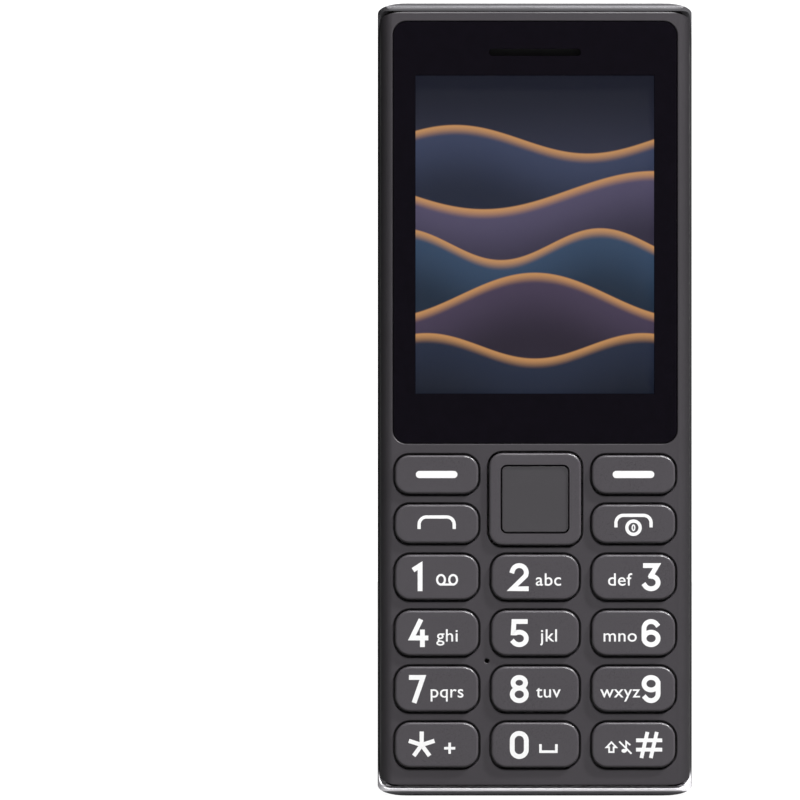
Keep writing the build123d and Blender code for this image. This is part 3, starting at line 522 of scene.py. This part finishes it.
def lettered(text, height, reference):
    """A mesh of thin plates from text, whose reference letter is as high as asked."""
    meshes = []
    for words in (reference, text):
        curve = bpy.data.curves.new("words", "FONT")
        curve.body = words
        curve.offset = letter_bold
        curve.space_character = letter_space
        holder = bpy.data.objects.new("words", curve)
        bpy.context.scene.collection.objects.link(holder)
        bpy.context.view_layer.update()
        evaluated = holder.evaluated_get(bpy.context.evaluated_depsgraph_get())
        mesh = bpy.data.meshes.new_from_object(evaluated)
        bpy.data.objects.remove(holder)
        meshes.append(mesh)
    low, high = span(meshes[0], 1)
    scale = height / (high - low)
    mesh = meshes[1]
    middle = sum(span(mesh, 0)) / 2
    shape = Matrix.Diagonal((scale * letter_widen, scale, scale, 1))
    mesh.transform(shape @ Matrix.Translation((-middle, 0, 0)))
    work = bmesh.new()
    work.from_mesh(mesh)
    bmesh.ops.remove_doubles(work, verts=work.verts[:], dist=print_weld)
    return thickened(work)


def printed(name, mesh, node, x=0, z=0):
    """Lays a flat print on the face of a key, from the key's own centre, and lets it ride there."""
    low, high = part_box(node)
    middle = (low + high) / 2
    front = low.y - print_proud
    place = Matrix.Translation((middle.x + x, front + print_depth, middle.z + z))
    mesh.transform(place @ upright)
    piece = bpy.data.objects.new(name, mesh)
    bpy.context.scene.collection.objects.link(piece)
    piece.data.materials.append(legend_ink)
    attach(piece, nodes[node]["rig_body"])


# %% [markdown]
# The digits are the plain, even-stroked kind of road signs: bowls are ellipses and the rest is straight.
# Each is a few strokes about its own centre, with its points given as shares of its reach. They stand to the
# left of the letters in the first two columns and to the right of them in the third, and the letters share
# one base line below the middle of the key.

# %% Digits
digit_height = 4.3 * mm
digit_width = 2.9 * mm
digit_line = 0.74 * mm
reach_x = (digit_width - digit_line) / 2
reach_y = (digit_height - digit_line) / 2
high_bowl = reach_y * 0.46
low_bowl = reach_y - high_bowl
high_x = reach_x * 0.88


def ring(y, radius_x, radius_y, width):
    """A closed oval line about a point on the middle line."""
    steps = 36
    return stroke(arc(0, y, radius_x, radius_y, 0, (steps - 1) / steps, steps - 1), width, True)


def digit(name):
    """The strokes of one digit."""
    high_y = reach_y - high_bowl
    low_y = low_bowl - reach_y
    if name == "0":
        bend_y = reach_y - reach_x
        sides = arc(0, bend_y, reach_x, reach_x, 0, 0.5) + arc(0, -bend_y, reach_x, reach_x, 0.5, 1)
        return [stroke(sides, digit_line, True)]
    if name == "1":
        stem = reach_x * 0.42
        return [stroke([(-reach_x * 0.3, reach_y * 0.72), (stem, reach_y), (stem, -reach_y)], digit_line)]
    if name == "2":
        bend = arc(0, reach_y - reach_x, reach_x, reach_x, 0.46, -0.08)
        return [stroke(bend + [(-reach_x, -reach_y), (reach_x, -reach_y)], digit_line)]
    if name == "3":
        roof = [(-reach_x * 0.8, reach_y), (reach_x * 0.85, reach_y), (0, reach_y * 0.12)]
        return [stroke(roof, digit_line), stroke(arc(0, low_y, reach_x, low_bowl, 0.25, -0.42), digit_line)]
    if name == "4":
        bar_y = -reach_y * 0.42
        stem = reach_x * 0.75
        slope = [(reach_x * 0.4, reach_y), (-reach_x * 0.75, bar_y), (reach_x * 1.25, bar_y)]
        return [stroke(slope, digit_line), stroke([(stem, reach_y * 0.1), (stem, -reach_y)], digit_line)]
    if name == "5":
        roof = [(reach_x * 0.85, reach_y), (-reach_x * 0.75, reach_y), (-reach_x * 0.85, reach_y * 0.02)]
        return [stroke(roof + arc(0, low_y, reach_x, low_bowl, 0.33, -0.4), digit_line)]
    if name == "7":
        half = reach_x * 0.82
        return [stroke([(-half, reach_y), (half, reach_y), (-half * 0.4, -reach_y)], digit_line)]
    if name == "8":
        return [ring(high_y, high_x, high_bowl, digit_line), ring(low_y, reach_x, low_bowl, digit_line)]
    # a six is a bowl with a straight back, and a nine is a six turned half round
    turn = 1 if name == "6" else -1
    curl = arc(0, reach_y - reach_x, reach_x, reach_x, 0.1, 0.5, 14) + [(-reach_x, low_y)]
    curl = [(x * turn, y * turn) for x, y in curl]
    return [ring(low_y * turn, reach_x, low_bowl, digit_line), stroke(curl, digit_line)]


# %% Digits and letters on their keys
letter_height = 1.88 * mm
letter_base = -1.28 * mm
digit_places = [-3.0 * mm, -2.43 * mm, 2.7 * mm]
letter_places = [1.6 * mm, 2.05 * mm, -2.05 * mm]
number_rows = [["1", "2", "3"], ["4", "5", "6"], ["7", "8", "9"]]
letter_rows = [[None, "abc", "def"], ["ghi", "jkl", "mno"], ["pqrs", "tuv", "wxyz"]]

for numbers, words in zip(number_rows, letter_rows):
    for column, (number, word) in enumerate(zip(numbers, words)):
        node = "key_" + number
        printed("digit_" + number, drawn(digit(number)), node, digit_places[column])
        if word:
            letters = lettered(word, letter_height, "d")
            printed("letters_" + number, letters, node, letter_places[column], letter_base)
printed("digit_0", drawn(digit("0")), "key_0", digit_places[1])
print("digits and letters made")

# %% [markdown]
# The signs are drawn the same way, each about its own centre. A table says which key each is on, and how
# far its centre lies from the key's, to the right and up.

# %% Where the signs stand
sign_places = {
    "call_sign": ("call_key", 0, -0.1 * mm),
    "end_sign": ("end_key", 0, 0.15 * mm),
    "message_sign": ("key_1", 1.6 * mm, -0.4 * mm),
    "star_sign": ("key_star", -2.3 * mm, 0),
    "plus_sign": ("key_star", 2.0 * mm, -0.5 * mm),
    "space_sign": ("key_0", 2.05 * mm, -0.55 * mm),
    "hash_sign": ("key_hash", 2.4 * mm, 0),
    "shift_sign": ("key_hash", -3.4 * mm, -0.35 * mm),
    "quiet_sign": ("key_hash", -1.25 * mm, -0.35 * mm),
}


def sign(name, strokes, filled=()):
    """Draws a sign and prints it at its place."""
    printed(name, drawn(strokes, filled), *sign_places[name])


# %% Bars, arches and the messages' loops
bar_half = 3.2 * mm
bar_round = 0.55 * mm
bar_end = bar_half - bar_round
bar = (arc(bar_end, 0, bar_round, bar_round, -0.25, 0.25, 12)
       + arc(-bar_end, 0, bar_round, bar_round, 0.25, 0.75, 12))
for node in ("soft_key_left", "soft_key_right"):
    printed(node + "_bar", drawn([], [bar]), node)

arch_line = 0.5 * mm
corner_x = 1.55 * mm
corner_reach = 1.15 * mm
foot = -0.45 * mm
handset = ([(-corner_x - corner_reach, foot)] + arc(-corner_x, 0, corner_reach, corner_reach, 0.5, 0.25, 10)
           + arc(corner_x, 0, corner_reach, corner_reach, 0.25, 0, 10) + [(corner_x + corner_reach, foot)])
sign("call_sign", [stroke(handset, arch_line)])

end_y = -0.75 * mm
end_radius = 1.02 * mm
end_inner_width = 0.2 * mm
end_inner_height = 0.42 * mm
end_inner_line = 0.2 * mm
end_ring = ring(end_y, end_radius, end_radius, arch_line)
end_inner_ring = ring(end_y, end_inner_width, end_inner_height, end_inner_line)
sign("end_sign", [stroke(handset, arch_line), end_ring, end_inner_ring])

loop_x = 0.93 * mm
loop_width = 0.6 * mm
loop_height = 0.73 * mm
loop_line = 0.32 * mm
loop_steps = 28
loop_turn = (loop_steps - 1) / loop_steps
ovals = [arc(x, 0, loop_width, loop_height, 0, loop_turn, loop_steps - 1) for x in (-loop_x, loop_x)]
loops = [stroke(oval, loop_line, True) for oval in ovals]
underline = stroke([(-loop_x, -loop_height), (loop_x, -loop_height)], loop_line)
sign("message_sign", loops + [underline])

# %% Star, plus and space
star_reach = 1.75 * mm
star_arms = 5
star_line = 0.64 * mm
star_turns = [math.tau * (0.25 + arm / star_arms) for arm in range(star_arms)]
star = [stroke([(0, 0), (star_reach * math.cos(turn), star_reach * math.sin(turn))], star_line)
        for turn in star_turns]
sign("star_sign", star)

plus_reach = 0.66 * mm
plus_line = 0.4 * mm
plus = [stroke([(-plus_reach, 0), (plus_reach, 0)], plus_line),
        stroke([(0, -plus_reach), (0, plus_reach)], plus_line)]
sign("plus_sign", plus)

space_reach = 1.22 * mm
space_rise = 0.48 * mm
space_line = 0.4 * mm
space = [stroke([(-space_reach, space_rise), (-space_reach, -space_rise), (space_reach, -space_rise),
                 (space_reach, space_rise)], space_line)]
sign("space_sign", space)

# %% Hash, shift and the crossed-out note
hash_reach = 1.72 * mm
hash_gap = 0.72 * mm
hash_slant = 0.4 * mm
hash_line = 0.58 * mm
hash_places = [-hash_gap, hash_gap]
hash_strokes = [stroke([(x - hash_slant, -hash_reach), (x + hash_slant, hash_reach)], hash_line)
                for x in hash_places]
hash_strokes += [stroke([(-hash_reach, y), (hash_reach, y)], hash_line) for y in hash_places]
sign("hash_sign", hash_strokes)

shift_shape = [(0, 0.95), (0.9, 0), (0.42, 0), (0.42, -0.9), (-0.42, -0.9), (-0.42, 0), (-0.9, 0)]
shift_scale = 0.82 * mm
shift_line = 0.26 * mm
shift_points = [(x * shift_scale, y * shift_scale) for x, y in shift_shape]
sign("shift_sign", [stroke(shift_points, shift_line, True)])

note_line = 0.26 * mm
head_steps = 20
head_turn = (head_steps - 1) / head_steps
head = arc(-0.2 * mm, -0.55 * mm, 0.4 * mm, 0.3 * mm, 0, head_turn, head_steps - 1)
stem = [(0.12 * mm, -0.5 * mm), (0.12 * mm, 0.85 * mm), (0.66 * mm, 0.42 * mm)]
cross = [(-0.85 * mm, 0.8 * mm), (0.85 * mm, -0.9 * mm)]
sign("quiet_sign", [stroke(stem, note_line), stroke(cross, note_line)], [head])
print("signs made")

# %% [markdown]
# ## Stage, light and camera
#
# The phone is seen square on, from far off, on white. A soft lamp stands high on the right and gives the top
# edges of the keys their bright line, and a small hard one beside it glints on their upper right corners.
# Two lamps behind light the back, which the front view doesn't see. The surroundings are white to the camera
# and stay dark to reflections, so the glass stays black.

# %% Floor and backdrop
stage_half = 1.5
backdrop_y = 1.2
backdrop_height = 2
stage_tone = 0.17
stage_rough = 0.9
stage_glow = 1.28
floor_share = 0.76
backdrop_share = 1


def stage_plane(name, corners, share):
    """A white sheet that the camera sees as nearly plain white, with the rest left to shadow."""
    mesh = bpy.data.meshes.new(name)
    mesh.from_pydata(corners, [], [(0, 1, 2, 3)])
    sheet = bpy.data.objects.new(name, mesh)
    bpy.context.scene.collection.objects.link(sheet)
    material, tree, shader, _ = begin(name)
    shader.inputs["Base Color"].default_value = (stage_tone, stage_tone, stage_tone, 1)
    shader.inputs["Roughness"].default_value = stage_rough
    glow = tree.nodes.new("ShaderNodeEmission")
    glow.inputs["Strength"].default_value = stage_glow
    path = Field(tree.nodes.new("ShaderNodeLightPath").outputs["Is Camera Ray"])
    mix = tree.nodes.new("ShaderNodeMixShader")
    tree.links.new((path * share).socket, mix.inputs["Fac"])
    tree.links.new(shader.outputs["BSDF"], mix.inputs[1])
    tree.links.new(glow.outputs["Emission"], mix.inputs[2])
    tree.links.new(mix.outputs["Shader"], tree.nodes["Material Output"].inputs["Surface"])
    mesh.materials.append(material)


stage_plane("floor", [(-stage_half, -stage_half, 0), (stage_half, -stage_half, 0),
                      (stage_half, backdrop_y, 0), (-stage_half, backdrop_y, 0)], floor_share)
stage_plane("backdrop", [(-stage_half, backdrop_y, 0), (stage_half, backdrop_y, 0),
                         (stage_half, backdrop_y, backdrop_height),
                         (-stage_half, backdrop_y, backdrop_height)], backdrop_share)

# %% Lamps and surroundings
aim = Vector((0, 0, 0.06))


def lamp(name, place, size, power):
    """A square soft lamp that faces the phone."""
    light = bpy.data.lights.new(name, "AREA")
    light.size = size
    light.energy = power
    holder = bpy.data.objects.new(name, light)
    holder.location = place
    holder.rotation_euler = (aim - Vector(place)).to_track_quat("-Z", "Y").to_euler()
    bpy.context.scene.collection.objects.link(holder)


lamp("key_lamp", (0.26, -0.6, 0.92), 0.2, 16.4)
lamp("glint_lamp", (0.69, -0.23, 0.88), 0.07, 15)
lamp("back_lamp", (-0.4, 0.9, 0.6), 0.45, 8)
lamp("back_fill_lamp", (0.25, 0.95, 0.35), 0.5, 3.5)

world = bpy.data.worlds.new("surroundings")
world.use_nodes = True
bpy.context.scene.world = world
world_tree = world.node_tree
light_path = world_tree.nodes.new("ShaderNodeLightPath")
glossy = Field(light_path.outputs["Is Glossy Ray"])
seen = Field(light_path.outputs["Is Camera Ray"])
ambient = 0.05
reflected = 0.03
strength = glossy * (reflected - ambient) + seen * (1 - ambient) + ambient
world_tree.links.new(strength.socket, world_tree.nodes["Background"].inputs["Strength"])
world_tree.nodes["Background"].inputs["Color"].default_value = (1, 1, 1, 1)

# %% Camera
picture_px = 800
mm_per_px = 0.1538
middle_px = 535.0
foot_px = 796.05
lens_mm = 300
sensor_mm = 36
face_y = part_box("front_cover")[0].y
seen_width = picture_px * mm_per_px * mm
distance = seen_width * lens_mm / sensor_mm
camera = bpy.data.objects.new("camera", bpy.data.cameras.new("camera"))
camera.data.lens = lens_mm
camera.data.sensor_width = sensor_mm
camera.location = ((picture_px / 2 - middle_px) * mm_per_px * mm, face_y - distance,
                   (foot_px - picture_px / 2) * mm_per_px * mm)
camera.rotation_euler = (math.pi / 2, 0, 0)
bpy.context.scene.collection.objects.link(camera)
bpy.context.scene.camera = camera
bpy.context.scene.view_settings.view_transform = "Standard"
print("camera at", [round(value, 4) for value in camera.location])
